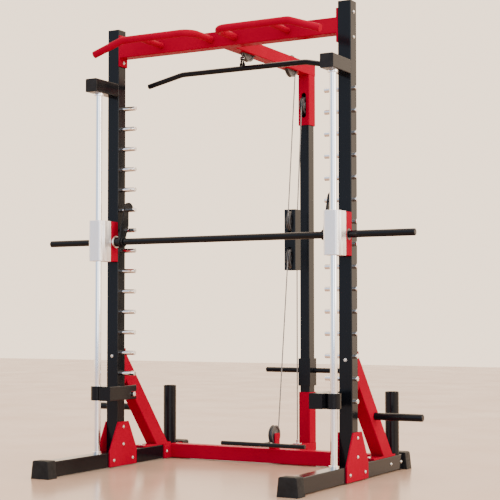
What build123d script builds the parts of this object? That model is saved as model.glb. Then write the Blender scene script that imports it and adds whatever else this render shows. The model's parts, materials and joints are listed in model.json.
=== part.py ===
"""Smith machine with a plate-loaded cable tower. Millimetres, +Z up, +X to the machine's
right as seen from the front, +Y from front to back. The origin is on the floor, at the
centre of the footprint."""

from build123d import *
import math
import os

os.makedirs("parts", exist_ok=True)

# ---------------------------------------------------------------- driving dimensions
tube = 60.0  # square tube of the main frame
wall = 3.0
corner = 4.0  # outer corner radius of the tubes
plate = 8.0  # flanges and end plates
front_y = -169.0  # front faces of the two uprights
back_y = front_y + tube
mid_y = front_y + tube / 2
upright_x = 588.0
upright_top = 2010.0

foot_bottom = 4.0  # the base tubes stand just off the floor on their rubber caps
foot_top = 70.0
foot_height = foot_top - foot_bottom
foot_mid_z = (foot_top + foot_bottom) / 2
foot_front = front_y - 468.0
foot_rear = front_y + 548.0
cap_length = 58.0
cap_base_width = 96.0
cap_top_width = 80.0
cap_height = 76.0

rod_y = front_y - 112.0  # guide rods
rod_radius = 15.0
arm_bottom = 1700.0
arm_reach = 170.0
collar_height = 10.0

peg_radius = 10.5  # lock pegs
peg_pitch = 93.66
peg_count = 15
top_peg_z = 1644.4
low_peg_z = top_peg_z - (peg_count - 1) * peg_pitch
peg_inner_reach = 76.0
peg_outer_reach = 14.0

cross_bottom = 1879.0  # top crossmember and beam
cross_height = 68.0
cross_mid_z = cross_bottom + cross_height / 2
flange_height = 144.0
beam_end = front_y + 860.0
beam_top = cross_bottom + tube

tower_width = 50.0  # rear upright
tower_depth = 60.0
tower_front = front_y + 797.0
tower_mid_y = tower_front + tower_depth / 2
sleeve_width = 60.0
sleeve_depth = 70.0
sleeve_bottom = 1630.0
base_sleeve_top = 316.0

rear_cross_y = front_y + 476.0
rear_plate_y = front_y + 466.0  # its end plates reach further forward than back
rear_plate_length = 160.0
rear_bolt_places = [(rear_plate_y - 57, foot_mid_z), (rear_plate_y + 57, foot_mid_z)]
brace_low_front = front_y + 328.0
brace_low_rear = front_y + 430.0
brace_high_low = 398.0
brace_high_top = 523.0

bar_y = front_y - 31.0  # smith bar
bar_z = 1026.0
bar_radius = 15.0
bar_half = 915.0
hook_x = 515.0
housing_half_width = 34.0
housing_front = front_y - 145.0
housing_rear = front_y - 60.0
housing_bottom = 936.0
housing_top = 1120.0

bolt_radius = 4.0
bolt_head_radius = 6.2
bolt_head_height = 5.0
head_taper = 18.0  # degrees
hole_clearance = 0.3
running_gap = 0.05  # radial gap of a shaft in its bore

cable_radius = 2.75
pulley_half_width = 10.0
axle_radius = 5.0
small_rim = 44.0
small_groove = 38.0
large_rim = 53.0
large_groove = 48.0
front_pulley = (front_y + 223.0, 1900.0)
rear_pulley = (front_y + 655.0, 1900.0)
bracket_pulley = (front_y + 808.0, 1729.0)
low_pulley = (front_y + 479.0, 134.0)
block_mid_y = front_y + 669.0
block_bottom = 909.0
block_top = 1202.0
block_upper = (block_mid_y, 1143.0)
block_lower = (block_mid_y, 968.0)

lat_y = front_pulley[0] - large_groove
lat_z = 1808.0
lat_stop_top = 1860.0
lat_stop_radius = 11.0
low_bar_y = front_y + 364.0
low_bar_z = low_pulley[1] - small_groove
low_stop_rear = front_y + 445.0
sled_bottom = 347.0
sled_top = 481.0
sled_peg_z = 422.0
sled_lug_top = 440.0
anchor_top = 92.0


# bolt centres on the side faces, as (y, z)
gusset_upright_bolts = [(front_y + 42, 181), (front_y + 42, 102)]
gusset_foot_bolts = [(front_y - 33, 34), (front_y + 117, 34)]
gusset_bolt_places = gusset_upright_bolts + gusset_foot_bolts
flange_bolt_places = [(mid_y, cross_mid_z - 53.5), (mid_y, cross_mid_z + 53.5)]
brace_bolt_z = 505.0


def save(part, name):
    """Label a finished piece and write it."""
    part.label = name
    export_step(part, f"parts/{name}.step")


def through_bolts(places, outer, grip):
    """Bolts along X with a domed head at the outer face and a domed nut at the inner one."""
    with BuildPart() as bolts:
        with BuildSketch(Plane.YZ.offset(outer)):
            with Locations(*places):
                Circle(bolt_radius)
        extrude(amount=-grip)
        with BuildSketch(Plane.YZ.offset(outer)):
            with Locations(*places):
                Circle(bolt_head_radius)
        extrude(amount=bolt_head_height, taper=head_taper)
        with BuildSketch(Plane.YZ.offset(outer - grip)):
            with Locations(*places):
                Circle(bolt_head_radius)
        extrude(amount=-bolt_head_height, taper=head_taper)
        mirror(about=Plane.YZ)
    return bolts.part


# ---------------------------------------------------------------- base
with BuildPart() as side_feet:
    with BuildSketch(Plane.XZ.offset(-foot_front)):
        with Locations((upright_x, foot_mid_z)):
            RectangleRounded(tube, foot_height, corner)
            Rectangle(tube - 2 * wall, foot_height - 2 * wall, mode=Mode.SUBTRACT)
    extrude(amount=foot_front - foot_rear)
    with BuildSketch(Plane.YZ.offset(upright_x - tube)):
        with Locations(*gusset_foot_bolts, *rear_bolt_places):
            Circle(bolt_radius + hole_clearance)
    extrude(amount=2 * tube, mode=Mode.SUBTRACT)
    mirror(about=Plane.YZ)
save(side_feet.part, "side_feet")


def cap_outline():
    """Front view of a flared rubber cap on the right-hand foot."""
    with BuildSketch() as outline:
        with BuildLine():
            Polyline(
                (upright_x - cap_base_width / 2, 0),
                (upright_x + cap_base_width / 2, 0),
                (upright_x + cap_top_width / 2, cap_height),
                (upright_x - cap_top_width / 2, cap_height),
                close=True,
            )
        make_face()
        fillet(outline.vertices().group_by(Axis.Y)[-1], radius=6)
    return outline.sketch


plug_length = 15.0
plug_gap = 0.2
with BuildPart() as foot_end_caps:
    with BuildSketch(Plane.XZ.offset(-(foot_front - cap_length))):
        add(cap_outline())
    extrude(amount=-cap_length)
    with BuildSketch(Plane.XZ.offset(-foot_rear)):
        add(cap_outline())
    extrude(amount=-cap_length)
    with BuildSketch(Plane.XZ.offset(-foot_front)):
        with Locations((upright_x, foot_mid_z)):
            Rectangle(tube - 2 * wall - 2 * plug_gap, foot_height - 2 * wall - 2 * plug_gap)
    extrude(amount=-plug_length)
    with BuildSketch(Plane.XZ.offset(-(foot_rear - plug_length))):
        with Locations((upright_x, foot_mid_z)):
            Rectangle(tube - 2 * wall - 2 * plug_gap, foot_height - 2 * wall - 2 * plug_gap)
    extrude(amount=-plug_length)
    mirror(about=Plane.YZ)
    # pad under the rear end of the base spine
    with BuildSketch(Plane.XY):
        with Locations((0, tower_mid_y)):
            RectangleRounded(tube - 8, tube, 6)
    extrude(amount=foot_bottom)
save(foot_end_caps.part, "foot_end_caps")

gusset_thickness = 6.0
with BuildPart() as gusset_plates:
    with BuildSketch(Plane.YZ.offset(upright_x - tube / 2 - gusset_thickness)):
        with BuildLine():
            Polyline(
                (front_y - 66, 5),
                (front_y + 150, 5),
                (front_y + 150, 78),
                (front_y + 84, 205),
                (front_y + 1, 205),
                (front_y - 66, 75),
                close=True,
            )
        make_face()
        with Locations(*gusset_bolt_places):
            Circle(bolt_radius + hole_clearance, mode=Mode.SUBTRACT)
    extrude(amount=gusset_thickness)
    mirror(about=Plane.YZ.offset(upright_x))
    mirror(about=Plane.YZ)
save(gusset_plates.part, "gusset_plates")

with BuildPart() as gusset_bolts:
    plate_face = upright_x + tube / 2 + gusset_thickness
    add(through_bolts(gusset_bolt_places, plate_face, tube + 2 * gusset_thickness))
save(gusset_bolts.part, "gusset_bolts")

# ---------------------------------------------------------------- uprights and pegs
peg_heights = [top_peg_z - number * peg_pitch for number in range(peg_count)]


def upright(side):
    """One of the two main uprights, drilled for its pegs and bolts."""
    with BuildPart() as post:
        with BuildSketch(Plane.XY.offset(foot_top)):
            with Locations((side * upright_x, mid_y)):
                RectangleRounded(tube, tube, corner)
                Rectangle(tube - 2 * wall, tube - 2 * wall, mode=Mode.SUBTRACT)
        extrude(amount=upright_top - foot_top)
        with BuildSketch(Plane.YZ.offset(side * upright_x - tube)):
            with Locations(*[(mid_y, height) for height in peg_heights]):
                Circle(peg_radius + hole_clearance)
            with Locations(*flange_bolt_places, *gusset_upright_bolts):
                Circle(bolt_radius + hole_clearance)
        extrude(amount=2 * tube, mode=Mode.SUBTRACT)
        with BuildSketch(Plane.XZ.offset(-front_y + 10)):
            with Locations((side * upright_x, brace_bolt_z)):
                Circle(bolt_radius + hole_clearance)
        extrude(amount=-(tube + 20), mode=Mode.SUBTRACT)
    return post.part


with BuildPart() as left_upright:
    add(upright(-1))
save(left_upright.part, "left_upright")

with BuildPart() as right_upright:
    add(upright(1))
save(right_upright.part, "right_upright")

with BuildPart() as lock_pegs:
    inner_end = upright_x - tube / 2 - peg_inner_reach
    outer_end = upright_x + tube / 2 + peg_outer_reach
    with BuildSketch(Plane.YZ.offset(inner_end)):
        with Locations(*[(mid_y, height) for height in peg_heights]):
            Circle(peg_radius)
    extrude(amount=outer_end - inner_end)
    ends = lock_pegs.edges().filter_by(GeomType.CIRCLE)
    chamfer(ends, length=1.5)
    mirror(about=Plane.YZ)
save(lock_pegs.part, "lock_pegs")

# ---------------------------------------------------------------- top arms and guide rods
with BuildPart() as top_arms:
    with BuildSketch(Plane.XZ.offset(-(front_y - arm_reach))):
        with Locations((upright_x, arm_bottom + tube / 2)):
            RectangleRounded(tube, tube, corner)
            Rectangle(tube - 2 * wall, tube - 2 * wall, mode=Mode.SUBTRACT)
    extrude(amount=-arm_reach)
    mirror(about=Plane.YZ)
save(top_arms.part, "top_arms")

with BuildPart() as guide_rods:
    with BuildSketch(Plane.XY.offset(foot_top)):
        with Locations((upright_x, rod_y)):
            Circle(rod_radius)
    extrude(amount=arm_bottom - foot_top)
    mirror(about=Plane.YZ)
save(guide_rods.part, "guide_rods")

with BuildPart() as guide_rod_collars:
    for height in (foot_top, arm_bottom - collar_height):
        with BuildSketch(Plane.XY.offset(height)):
            with Locations((upright_x, rod_y)):
                Circle(rod_radius + 7)
                Circle(rod_radius + 0.1, mode=Mode.SUBTRACT)
        extrude(amount=collar_height)
    mirror(about=Plane.YZ)
save(guide_rod_collars.part, "guide_rod_collars")

# plugs: tops of the uprights, fronts of the arms, rear ends of the beam and the base spine
plug_lip = 3.0
with BuildPart() as tube_end_plugs:
    with BuildSketch(Plane.XY.offset(upright_top)):
        with Locations((upright_x, mid_y)):
            RectangleRounded(tube, tube, 4)
    extrude(amount=plug_lip)
    with BuildSketch(Plane.XY.offset(upright_top - 20)):
        with Locations((upright_x, mid_y)):
            Rectangle(tube - 2 * wall - 0.4, tube - 2 * wall - 0.4)
    extrude(amount=20)
    with BuildSketch(Plane.XZ.offset(-(front_y - arm_reach - plug_lip))):
        with Locations((upright_x, arm_bottom + tube / 2)):
            RectangleRounded(tube, tube, 4)
    extrude(amount=-plug_lip)
    with BuildSketch(Plane.XZ.offset(-(front_y - arm_reach))):
        with Locations((upright_x, arm_bottom + tube / 2)):
            Rectangle(tube - 2 * wall - 0.4, tube - 2 * wall - 0.4)
    extrude(amount=-20)
    mirror(about=Plane.YZ)
    for height, size in ((cross_bottom + tube / 2, tube), (foot_mid_z, foot_height)):
        with BuildSketch(Plane.XZ.offset(-(beam_end - 20))):
            with Locations((0, height)):
                Rectangle(tube - 2 * wall - 0.4, size - 2 * wall - 0.4)
        extrude(amount=-20)
        with BuildSketch(Plane.XZ.offset(-beam_end)):
            with Locations((0, height)):
                RectangleRounded(tube, size, 4)
        extrude(amount=-2)
save(tube_end_plugs.part, "tube_end_plugs")

# ---------------------------------------------------------------- top crossmember, handles, beam
cross_end = upright_x - tube / 2
with BuildPart() as top_crossmember:
    with BuildSketch(Plane.YZ.offset(-cross_end)):
        with Locations((mid_y, cross_mid_z)):
            RectangleRounded(tube, cross_height, corner)
    extrude(amount=2 * cross_end)
    for start in (-cross_end, cross_end - plate):
        with BuildSketch(Plane.YZ.offset(start)):
            with Locations((mid_y, cross_mid_z)):
                Rectangle(tube, flange_height)
        extrude(amount=plate)
    with BuildSketch(Plane.YZ.offset(-cross_end)):
        with Locations((mid_y, cross_mid_z)):
            Rectangle(tube - 2 * wall, cross_height - 2 * wall)
        with Locations(*flange_bolt_places):
            Circle(bolt_radius + hole_clearance)
    extrude(amount=2 * cross_end, mode=Mode.SUBTRACT)
save(top_crossmember.part, "top_crossmember")

handle_radius = 16.0
handle_reach = 180.0
handle_inner_x = 60.0
handle_bend_x = 415.0
handle_end_x = 565.0
handle_drop = 50.0
handle_strut_x = 322.0
strut_radius = 13.0
with BuildPart() as pull_up_handles:
    with BuildLine():
        handle_path = FilletPolyline(
            (handle_inner_x, front_y, cross_mid_z),
            (handle_inner_x, front_y - handle_reach, cross_mid_z),
            (handle_bend_x, front_y - handle_reach, cross_mid_z),
            (handle_end_x, front_y - handle_reach, cross_mid_z - handle_drop),
            radius=55,
        )
    with BuildSketch(Plane(origin=handle_path @ 0, z_dir=handle_path % 0)):
        Circle(handle_radius)
        Circle(handle_radius - wall, mode=Mode.SUBTRACT)
    sweep()
    with BuildSketch(Plane(origin=handle_path @ 1, z_dir=handle_path % 1)):
        Circle(handle_radius)
    extrude(amount=-2)
    with BuildSketch(Plane.XZ.offset(-front_y)):
        with Locations((handle_strut_x, cross_mid_z)):
            Circle(strut_radius)
    extrude(amount=handle_reach - handle_radius + 1.5)
    mirror(about=Plane.YZ)
save(pull_up_handles.part, "pull_up_handles")

slot_width = 26.0
with BuildPart() as top_beam:
    with BuildSketch(Plane.XZ.offset(-back_y)):
        with Locations((0, cross_bottom + tube / 2)):
            RectangleRounded(tube, tube, corner)
            Rectangle(tube - 2 * wall, tube - 2 * wall, mode=Mode.SUBTRACT)
    extrude(amount=back_y - beam_end)
    # slots for both pulleys, through the bottom and the top
    for height in (cross_bottom - 5, beam_top - 10):
        with BuildSketch(Plane.XY.offset(height)):
            with Locations((0, front_pulley[0]), (0, rear_pulley[0])):
                Rectangle(slot_width, 124)
        extrude(amount=15, mode=Mode.SUBTRACT)
save(top_beam.part, "top_beam")

# ---------------------------------------------------------------- rear tower
with BuildPart() as rear_top_bracket:
    with BuildSketch(Plane.XY.offset(sleeve_bottom)):
        with Locations((0, tower_mid_y)):
            RectangleRounded(sleeve_width, sleeve_depth, corner)
            Rectangle(tower_width + 0.4, tower_depth + 0.4, mode=Mode.SUBTRACT)
    extrude(amount=cross_bottom - sleeve_bottom)
    with BuildSketch(Plane.XZ.offset(-(tower_front - 20))):
        with Locations((0, bracket_pulley[1])):
            SlotCenterToCenter(98, slot_width, rotation=90)
    extrude(amount=-40, mode=Mode.SUBTRACT)
save(rear_top_bracket.part, "rear_top_bracket")

sled_travel = 900.0
with BuildPart() as rear_upright:
    with BuildSketch(Plane.XY.offset(foot_top)):
        with Locations((0, tower_mid_y)):
            RectangleRounded(tower_width, tower_depth, corner)
            Rectangle(tower_width - 2 * wall, tower_depth - 2 * wall, mode=Mode.SUBTRACT)
    extrude(amount=cross_bottom - foot_top)
    with BuildSketch(Plane.XZ.offset(-(tower_front - 20))):
        with Locations((0, bracket_pulley[1])):
            SlotCenterToCenter(98, slot_width, rotation=90)
    extrude(amount=-40, mode=Mode.SUBTRACT)
    # slot in the rear wall for the sled's lug
    slot_low = sled_lug_top - 60
    slot_high = sled_lug_top + sled_travel + 20
    with BuildSketch(Plane.XZ.offset(-(tower_mid_y + 10))):
        with Locations((0, (slot_low + slot_high) / 2)):
            SlotOverall(slot_high - slot_low, 12, rotation=90)
    extrude(amount=-40, mode=Mode.SUBTRACT)
save(rear_upright.part, "rear_upright")

spine_start = rear_cross_y + tube / 2
with BuildPart() as base_spine:
    with BuildSketch(Plane.XZ.offset(-spine_start)):
        with Locations((0, foot_mid_z)):
            RectangleRounded(tube, foot_height, corner)
            Rectangle(tube - 2 * wall, foot_height - 2 * wall, mode=Mode.SUBTRACT)
    extrude(amount=spine_start - beam_end)
    with BuildSketch(Plane.XY.offset(foot_top)):
        with Locations((0, tower_mid_y)):
            RectangleRounded(sleeve_width, sleeve_depth, corner)
            Rectangle(tower_width + 0.4, tower_depth + 0.4, mode=Mode.SUBTRACT)
    extrude(amount=base_sleeve_top - foot_top)
save(base_spine.part, "base_spine")

with BuildPart() as rear_crossmember:
    with BuildSketch(Plane.YZ.offset(-cross_end)):
        with Locations((rear_cross_y, foot_mid_z)):
            RectangleRounded(tube, foot_height, corner)
    extrude(amount=2 * cross_end)
    for start in (-cross_end, cross_end - plate):
        with BuildSketch(Plane.YZ.offset(start)):
            with Locations((rear_plate_y, foot_mid_z)):
                Rectangle(rear_plate_length, foot_height)
        extrude(amount=plate)
    with BuildSketch(Plane.YZ.offset(-cross_end)):
        with Locations((rear_cross_y, foot_mid_z)):
            Rectangle(tube - 2 * wall, foot_height - 2 * wall)
        with Locations(*rear_bolt_places):
            Circle(bolt_radius + hole_clearance)
    extrude(amount=2 * cross_end, mode=Mode.SUBTRACT)
save(rear_crossmember.part, "rear_crossmember")

# the same bolt holds both crossmembers' end plates
with BuildPart() as crossmember_bolts:
    add(through_bolts(flange_bolt_places + rear_bolt_places, upright_x + tube / 2, tube + plate))
save(crossmember_bolts.part, "crossmember_bolts")

# ---------------------------------------------------------------- braces, holders, plate pegs
brace_slope = (brace_high_top - foot_top - plate) / (brace_low_rear - back_y - plate)
brace_angle = math.atan(brace_slope)
side_gap = wall / math.cos(brace_angle)  # wall of the sloping faces, measured upwards
with BuildPart() as rear_braces:
    with BuildSketch(Plane.YZ.offset(upright_x - tube / 2)):
        with BuildLine():
            Polyline(
                (back_y + plate, brace_high_top),
                (back_y + plate, brace_high_low),
                (brace_low_front, foot_top + plate),
                (brace_low_rear, foot_top + plate),
                close=True,
            )
        make_face()
    extrude(amount=tube)
    sloping = []
    for edge in rear_braces.edges():
        along = edge.tangent_at(0.5)
        if abs(along.Y) > 0.1 and abs(along.Z) > 0.1:
            sloping.append(edge)
    fillet(sloping, radius=corner)
    with BuildSketch(Plane.XZ.offset(-back_y)):
        with Locations((upright_x, 460)):
            Rectangle(tube, 160)
    extrude(amount=-plate)
    with BuildSketch(Plane.XY.offset(foot_top)):
        with Locations((upright_x, front_y + 339)):
            Rectangle(tube, 234)
    extrude(amount=plate)
    # the tube is hollow and open at its lower end
    with BuildSketch(Plane.YZ.offset(upright_x - tube / 2 + wall)):
        with BuildLine():
            Polyline(
                (back_y + plate, brace_high_top - side_gap),
                (back_y + plate, brace_high_low + side_gap),
                (brace_low_front + side_gap / brace_slope + plate / brace_slope, foot_top),
                (brace_low_rear - side_gap / brace_slope + plate / brace_slope, foot_top),
                close=True,
            )
        make_face()
    extrude(amount=tube - 2 * wall, mode=Mode.SUBTRACT)
    with BuildSketch(Plane.XZ.offset(-back_y)):
        with Locations((upright_x, brace_bolt_z)):
            Circle(bolt_radius + hole_clearance)
    extrude(amount=-plate, mode=Mode.SUBTRACT)
    mirror(about=Plane.YZ)
save(rear_braces.part, "rear_braces")

with BuildPart() as brace_bolts:
    # one through each upright into the brace's top flange
    with BuildSketch(Plane.XZ.offset(-front_y)):
        with Locations((upright_x, brace_bolt_z)):
            Circle(bolt_radius)
    extrude(amount=-(tube + plate))
    with BuildSketch(Plane.XZ.offset(-front_y)):
        with Locations((upright_x, brace_bolt_z)):
            Circle(bolt_head_radius)
    extrude(amount=bolt_head_height, taper=head_taper)
    # two heads on each base flange
    with BuildSketch(Plane.XY.offset(foot_top + plate)):
        with Locations((upright_x, front_y + 240), (upright_x, front_y + 444)):
            Circle(bolt_head_radius)
    extrude(amount=bolt_head_height, taper=head_taper)
    mirror(about=Plane.YZ)
save(brace_bolts.part, "brace_bolts")

holder_y = front_y + 494.0
holder_radius = 31.0
holder_bore = 27.5
holder_top = 350.0
with BuildPart() as bar_holders:
    with BuildSketch(Plane.XY.offset(foot_top)):
        with Locations((upright_x, holder_y)):
            Circle(holder_radius)
    extrude(amount=holder_top - foot_top)
    with BuildSketch(Plane.XY.offset(foot_top + wall)):
        with Locations((upright_x, holder_y)):
            Circle(holder_bore)
    extrude(amount=holder_top - foot_top - wall, mode=Mode.SUBTRACT)
    mirror(about=Plane.YZ)
save(bar_holders.part, "bar_holders")

plate_peg_y = front_y + 236.0
plate_peg_z = 258.0
plate_peg_radius = 16.0
plate_peg_length = 220.0
with BuildPart() as plate_pegs:
    with BuildSketch(Plane.YZ.offset(upright_x + tube / 2)):
        with Locations((plate_peg_y, plate_peg_z)):
            Circle(plate_peg_radius)
    extrude(amount=plate_peg_length)
    chamfer(plate_pegs.faces().sort_by(Axis.X)[-1].edges(), length=3)
    mirror(about=Plane.YZ)
save(plate_pegs.part, "plate_pegs")

# ---------------------------------------------------------------- pulleys
pulleys = {
    "front_top_pulley": (front_pulley, large_rim, large_groove),
    "rear_top_pulley": (rear_pulley, large_rim, large_groove),
    "bracket_pulley": (bracket_pulley, small_rim, small_groove),
    "low_pulley": (low_pulley, small_rim, small_groove),
    "block_upper_pulley": (block_upper, large_rim, large_groove),
    "block_lower_pulley": (block_lower, large_rim, large_groove),
}
groove_gap = 0.4
for name, (centre, rim, groove) in pulleys.items():
    groove_floor = groove - cable_radius - groove_gap
    bore = axle_radius + running_gap
    with BuildPart() as pulley:
        with BuildSketch(Plane(origin=(0, *centre), x_dir=(1, 0, 0), z_dir=(0, -1, 0))):
            with BuildLine():
                Polyline(
                    (-pulley_half_width, bore),
                    (pulley_half_width, bore),
                    (pulley_half_width, rim),
                    (pulley_half_width - 2.5, rim),
                    (3.5, groove_floor),
                    (-3.5, groove_floor),
                    (-pulley_half_width + 2.5, rim),
                    (-pulley_half_width, rim),
                    close=True,
                )
            make_face()
        revolve(axis=Axis((0, *centre), (1, 0, 0)))
    save(pulley.part, name)

block_half = 30.0
block_wall = 4.0
cheek_inner = 12.0
beam_inner = tube / 2 - wall
tower_inner = tower_width / 2 - wall
block_inner = block_half - block_wall


def axle_pins(axles):
    """Plain pins along X, each welded between the two walls that stand half a length from the middle."""
    with BuildPart() as pins:
        for centre, half in axles:
            with BuildSketch(Plane.YZ.offset(-half)):
                with Locations(centre):
                    Circle(axle_radius)
            extrude(amount=2 * half)
    return pins.part


with BuildPart() as pulley_axles:
    add(
        axle_pins(
            [
                (front_pulley, beam_inner),
                (rear_pulley, beam_inner),
                (bracket_pulley, tower_inner),
                (low_pulley, cheek_inner),
            ]
        )
    )
save(pulley_axles.part, "pulley_axles")

with BuildPart() as block_axles:
    add(axle_pins([(block_upper, block_inner), (block_lower, block_inner)]))
save(block_axles.part, "block_axles")

cheek_thickness = 5.0
cheek_depth = 45.0
cheek_top = low_pulley[1] + 8
with BuildPart() as low_pulley_bracket:
    for start in (-cheek_inner - cheek_thickness, cheek_inner):
        with BuildSketch(Plane.YZ.offset(start)):
            with Locations((low_pulley[0], (foot_top + cheek_top) / 2)):
                Rectangle(cheek_depth, cheek_top - foot_top)
        extrude(amount=cheek_thickness)
    with BuildSketch(Plane.XY.offset(foot_top)):
        with Locations((0, low_pulley[0])):
            Rectangle(2 * (cheek_inner + cheek_thickness), cheek_depth)
    extrude(amount=6)
save(low_pulley_bracket.part, "low_pulley_bracket")

anchor_y = block_mid_y + large_groove
with BuildPart() as cable_anchor:
    with BuildSketch(Plane.XY.offset(foot_top)):
        with Locations((0, anchor_y)):
            RectangleRounded(36, 30, 4)
    extrude(amount=5)
    with BuildSketch(Plane.XY.offset(foot_top + 5)):
        with Locations((0, anchor_y)):
            Circle(7)
    extrude(amount=anchor_top - foot_top - 5)
save(cable_anchor.part, "cable_anchor")


# ---------------------------------------------------------------- cables
def straight(start, start_radius, start_turn, end, end_radius, end_turn):
    """Ends of the straight run between two pulleys, in the YZ plane. A turn of 1 goes
    anticlockwise seen from +X, and -1 clockwise; a radius of 0 is a plain point."""
    offset = end_turn * end_radius - start_turn * start_radius
    dy = end[0] - start[0]
    dz = end[1] - start[1]
    square = dy * dy + dz * dz
    run = math.sqrt(square - offset * offset)
    way_y = (run * dy + offset * dz) / square
    way_z = (run * dz - offset * dy) / square
    leave = (start[0] + start_turn * start_radius * way_z, start[1] - start_turn * start_radius * way_y)
    arrive = (end[0] + end_turn * end_radius * way_z, end[1] - end_turn * end_radius * way_y)
    return leave, arrive


def round_middle(centre, radius, turn, first, last):
    """Point of a pulley's wrap halfway between its two ends."""
    begin = math.atan2(first[1] - centre[1], first[0] - centre[0])
    finish = math.atan2(last[1] - centre[1], last[0] - centre[0])
    swept = turn * ((turn * (finish - begin)) % (2 * math.pi))
    middle = begin + swept / 2
    return (centre[0] + radius * math.cos(middle), centre[1] + radius * math.sin(middle))


lat_top = (lat_y, lat_stop_top)
front_in = (lat_y, front_pulley[1])
top_a, top_b = straight(front_pulley, large_groove, -1, rear_pulley, large_groove, -1)
drop_a, drop_b = straight(rear_pulley, large_groove, -1, block_upper, large_groove, 1)
rise_a, rise_b = straight(block_upper, large_groove, 1, bracket_pulley, small_groove, -1)
sled_y = bracket_pulley[0] + small_groove
sled_in = (sled_y, bracket_pulley[1])
low_start = (low_stop_rear, low_bar_z)
low_in = (low_pulley[0], low_bar_z)
reach_a, reach_b = straight(low_pulley, small_groove, 1, block_lower, large_groove, -1)
anchor_in = (anchor_y, block_lower[1])

straight_runs = {
    "cable_lat_drop": (lat_top, front_in),
    "cable_rear_drop": (drop_a, drop_b),
    "cable_block_rise": (rise_a, rise_b),
    "cable_sled_drop": ((sled_y, sled_lug_top), sled_in),
    "cable_low_reach": (low_start, low_in),
    "cable_low_rise": (reach_a, reach_b),
    "cable_anchor_drop": ((anchor_y, anchor_top), anchor_in),
}
for name, (start, end) in straight_runs.items():
    with BuildPart() as cable:
        with BuildLine(Plane.YZ):
            route = Line(start, end)
        with BuildSketch(Plane(origin=route @ 0, z_dir=route % 0)):
            Circle(cable_radius)
        sweep()
    save(cable.part, name)
    print(name, "length", round(route.length, 1))


def wrap(centre, radius, turn, first, last):
    """A length of cable round one pulley."""
    with BuildPart() as piece:
        with BuildLine(Plane.YZ):
            route = ThreePointArc(first, round_middle(centre, radius, turn, first, last), last)
        with BuildSketch(Plane(origin=route @ 0, z_dir=route % 0)):
            Circle(cable_radius)
        sweep()
    print("wrap length", round(route.length, 1))
    return piece.part


with BuildPart() as cable_top_run:
    with BuildLine(Plane.YZ) as top_route:
        first_turn = ThreePointArc(
            front_in,
            round_middle(front_pulley, large_groove, -1, front_in, top_a),
            top_a,
        )
        Line(top_a, top_b)
        ThreePointArc(top_b, round_middle(rear_pulley, large_groove, -1, top_b, drop_a), drop_a)
    with BuildSketch(Plane(origin=first_turn @ 0, z_dir=first_turn % 0)):
        Circle(cable_radius)
    sweep()
save(cable_top_run.part, "cable_top_run")
print("cable_top_run length", round(top_route.wires()[0].length, 1))

wraps = {
    "cable_bracket_wrap": [(bracket_pulley, small_groove, -1, rise_b, sled_in)],
    "cable_low_wrap": [(low_pulley, small_groove, 1, low_in, reach_a)],
    "cable_block_wraps": [
        (block_upper, large_groove, 1, drop_b, rise_a),
        (block_lower, large_groove, -1, reach_b, anchor_in),
    ],
}
for name, turns in wraps.items():
    with BuildPart() as cable:
        for turn in turns:
            add(wrap(*turn))
    save(cable.part, name)

# ---------------------------------------------------------------- floating block
with BuildPart() as pulley_block:
    with BuildSketch(Plane.XY.offset(block_bottom)):
        with Locations((0, block_mid_y)):
            RectangleRounded(2 * block_half, 2 * block_half, 4)
            Rectangle(2 * (block_half - block_wall), 2 * (block_half - block_wall), mode=Mode.SUBTRACT)
    extrude(amount=block_top - block_bottom)
    with BuildSketch(Plane.XZ.offset(-(block_mid_y - 40))):
        with Locations((0, block_upper[1]), (0, block_lower[1])):
            SlotCenterToCenter(78, slot_width, rotation=90)
    extrude(amount=-80, mode=Mode.SUBTRACT)
save(pulley_block.part, "pulley_block")

# ---------------------------------------------------------------- weight sled
sled_peg_radius = 12.5
sled_half = 32.0
sled_peg_tip = 227.0
with BuildPart() as weight_sled:
    with BuildSketch(Plane.XY.offset(sled_bottom)):
        with Locations((0, tower_mid_y)):
            RectangleRounded(2 * sled_half, 74, 3)
            Rectangle(tower_width + 1.0, tower_depth + 1.0, mode=Mode.SUBTRACT)
    extrude(amount=sled_top - sled_bottom)
    for side in (-1, 1):
        with BuildSketch(Plane.YZ.offset(side * sled_half)):
            with Locations((tower_mid_y, sled_peg_z)):
                Circle(sled_peg_radius)
        extrude(amount=side * (sled_peg_tip - sled_half))
    chamfer(weight_sled.faces().sort_by(Axis.X)[0].edges(), length=2)
    chamfer(weight_sled.faces().sort_by(Axis.X)[-1].edges(), length=2)
    # the lug reaches through the tube's rear slot and holds the cable
    with BuildSketch(Plane.YZ.offset(-4)):
        with Locations(((sled_y - 7 + tower_mid_y + 32) / 2, sled_lug_top - 20)):
            Rectangle(tower_mid_y + 32 - sled_y + 7, 40)
    extrude(amount=8)
save(weight_sled.part, "weight_sled")

# ---------------------------------------------------------------- carriages
bushing_radius = 24.0
bushing_length = 60.0
with BuildPart() as carriage_housings:
    with BuildSketch(Plane.XY.offset(housing_bottom)):
        with Locations((upright_x, (housing_front + housing_rear) / 2)):
            RectangleRounded(2 * housing_half_width, housing_rear - housing_front, 12)
        with Locations((upright_x, rod_y)):
            Circle(rod_radius + 2, mode=Mode.SUBTRACT)
    extrude(amount=housing_top - housing_bottom)
    for height in (housing_bottom + 6, housing_top - 6 - bushing_length):
        with BuildSketch(Plane.XY.offset(height)):
            with Locations((upright_x, rod_y)):
                Circle(bushing_radius)
        extrude(amount=bushing_length, mode=Mode.SUBTRACT)
    mirror(about=Plane.YZ)
save(carriage_housings.part, "carriage_housings")

with BuildPart() as linear_bushings:
    for height in (housing_bottom + 6, housing_top - 6 - bushing_length):
        with BuildSketch(Plane.XY.offset(height)):
            with Locations((upright_x, rod_y)):
                Circle(bushing_radius)
                Circle(rod_radius + running_gap, mode=Mode.SUBTRACT)
        extrude(amount=bushing_length)
    mirror(about=Plane.YZ)
save(linear_bushings.part, "linear_bushings")

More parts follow.
